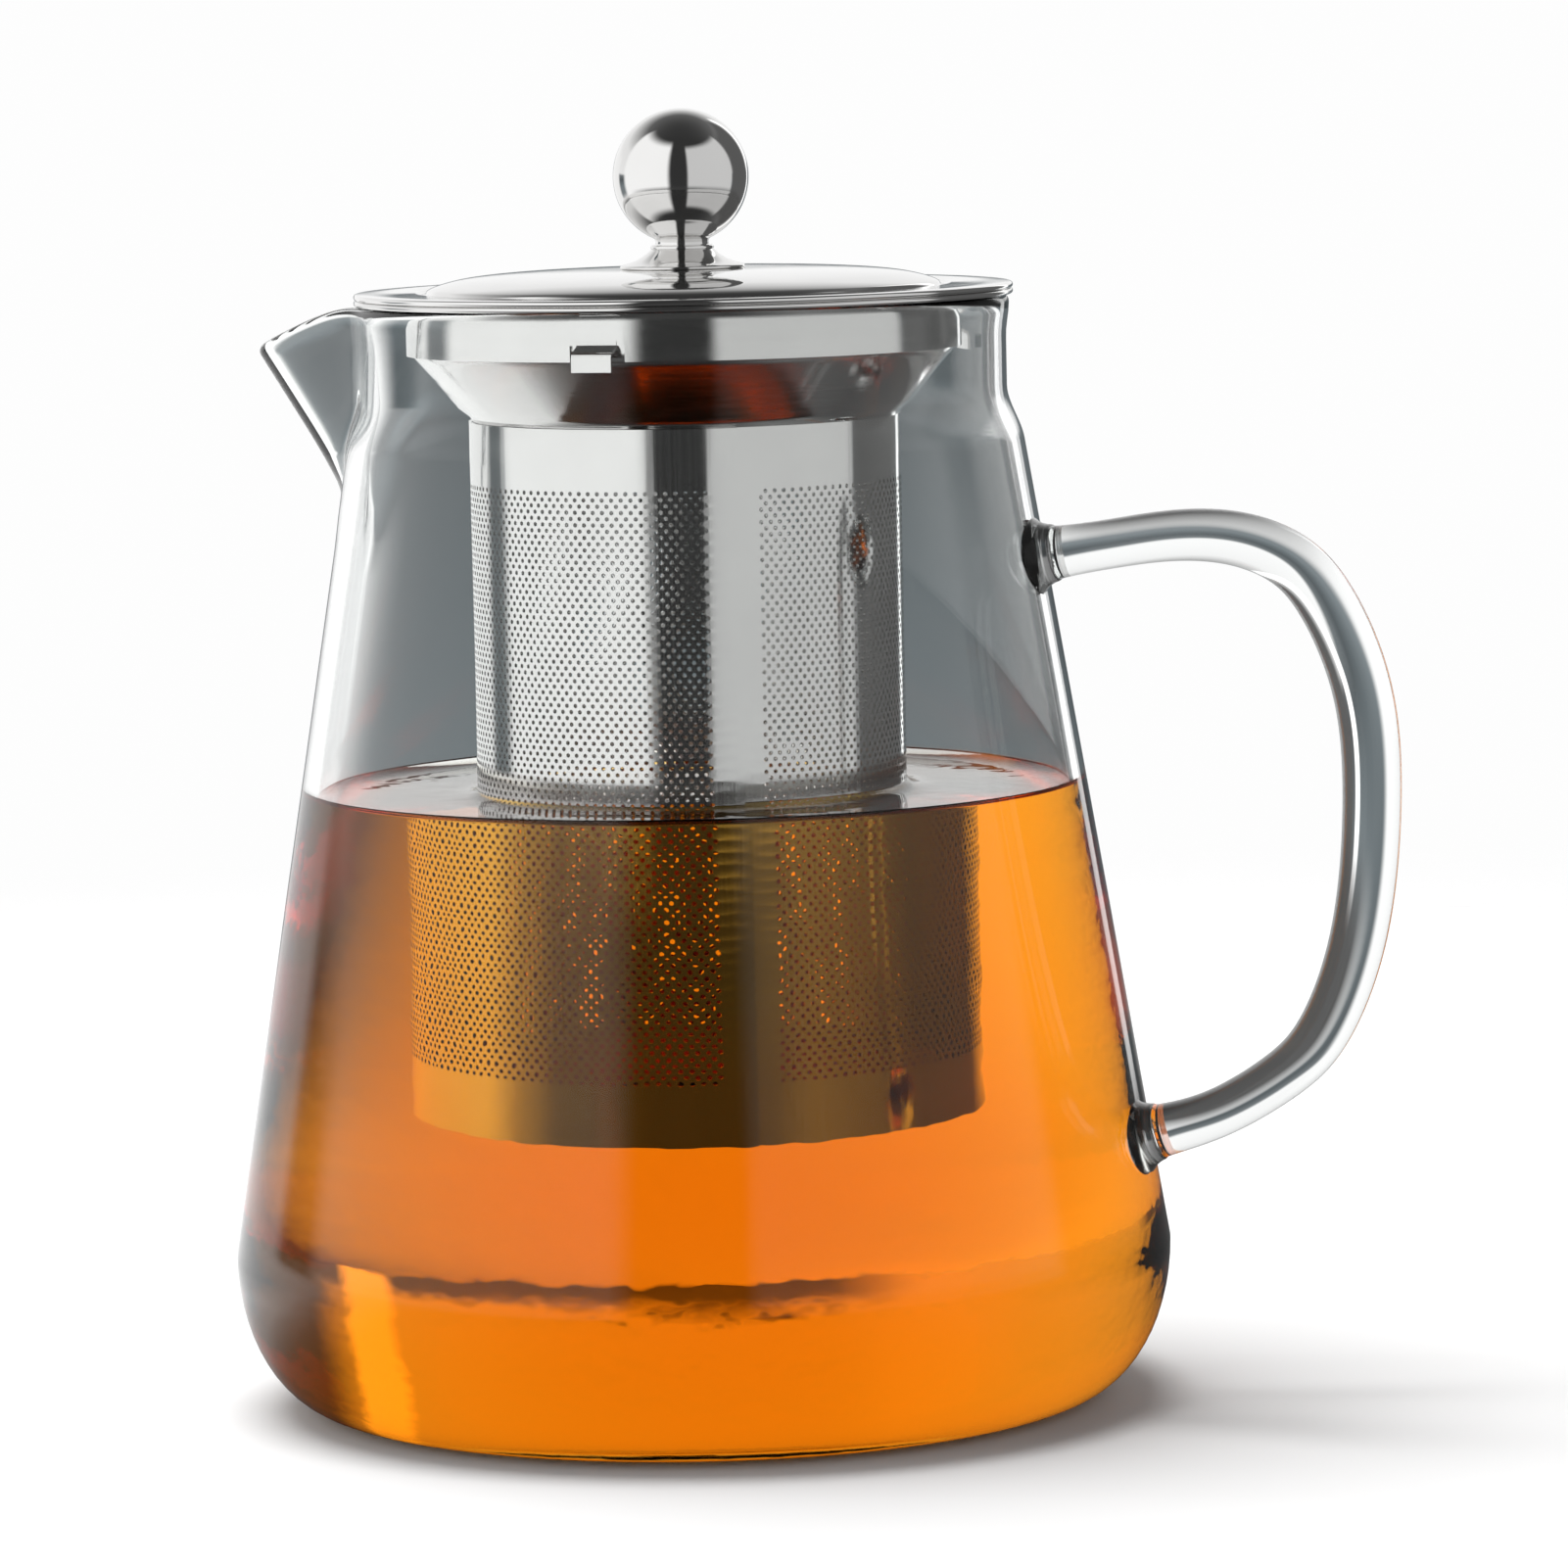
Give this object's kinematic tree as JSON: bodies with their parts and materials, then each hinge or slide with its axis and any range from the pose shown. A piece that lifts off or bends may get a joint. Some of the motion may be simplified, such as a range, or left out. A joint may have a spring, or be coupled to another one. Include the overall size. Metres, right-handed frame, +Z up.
{
  "type": "glass teapot",
  "caption": "Tapered clear glass teapot with a pulled spout and solid glass handle, a lift-out perforated steel infuser and a steel lid with a ball knob.",
  "frame": {"origin": "centre of the flat glass foot, on the table", "axes": "+Z up along the pot's axis, +X towards the handle, -X towards the spout"},
  "size_m": [0.1558, 0.124, 0.1705],
  "materials": {
    "borosilicate_glass": "clear, fire-polished",
    "infuser_steel": "bright pressed stainless sheet",
    "perforated_steel": "stainless sheet with fine staggered holes",
    "polished_steel": "mirror-polished stainless steel",
    "fastener_steel": "plain stainless fastener"
  },
  "bodies": {
    "pot": {"pot_body": "borosilicate_glass", "handle": "borosilicate_glass", "handle_upper_boss": "borosilicate_glass", "handle_lower_boss": "borosilicate_glass"},
    "infuser": {"infuser_rim": "infuser_steel", "infuser_funnel": "infuser_steel", "infuser_sleeve": "perforated_steel", "infuser_floor": "infuser_steel"},
    "lid": {"lid_cover": "polished_steel", "lid_skirt": "infuser_steel", "knob_foot": "polished_steel", "knob_ball": "polished_steel", "knob_screw": "fastener_steel", "knob_washer": "fastener_steel"}
  },
  "joints": [
    {"name": "infuser_lift", "type": "slide", "parent": "pot", "child": "infuser", "axis": [0, 0, 1], "range_m": [0, 0.12]},
    {"name": "lid_lift", "type": "slide", "parent": "infuser", "child": "lid", "axis": [0, 0, 1], "range_m": [0, 0.03]}
  ]
}
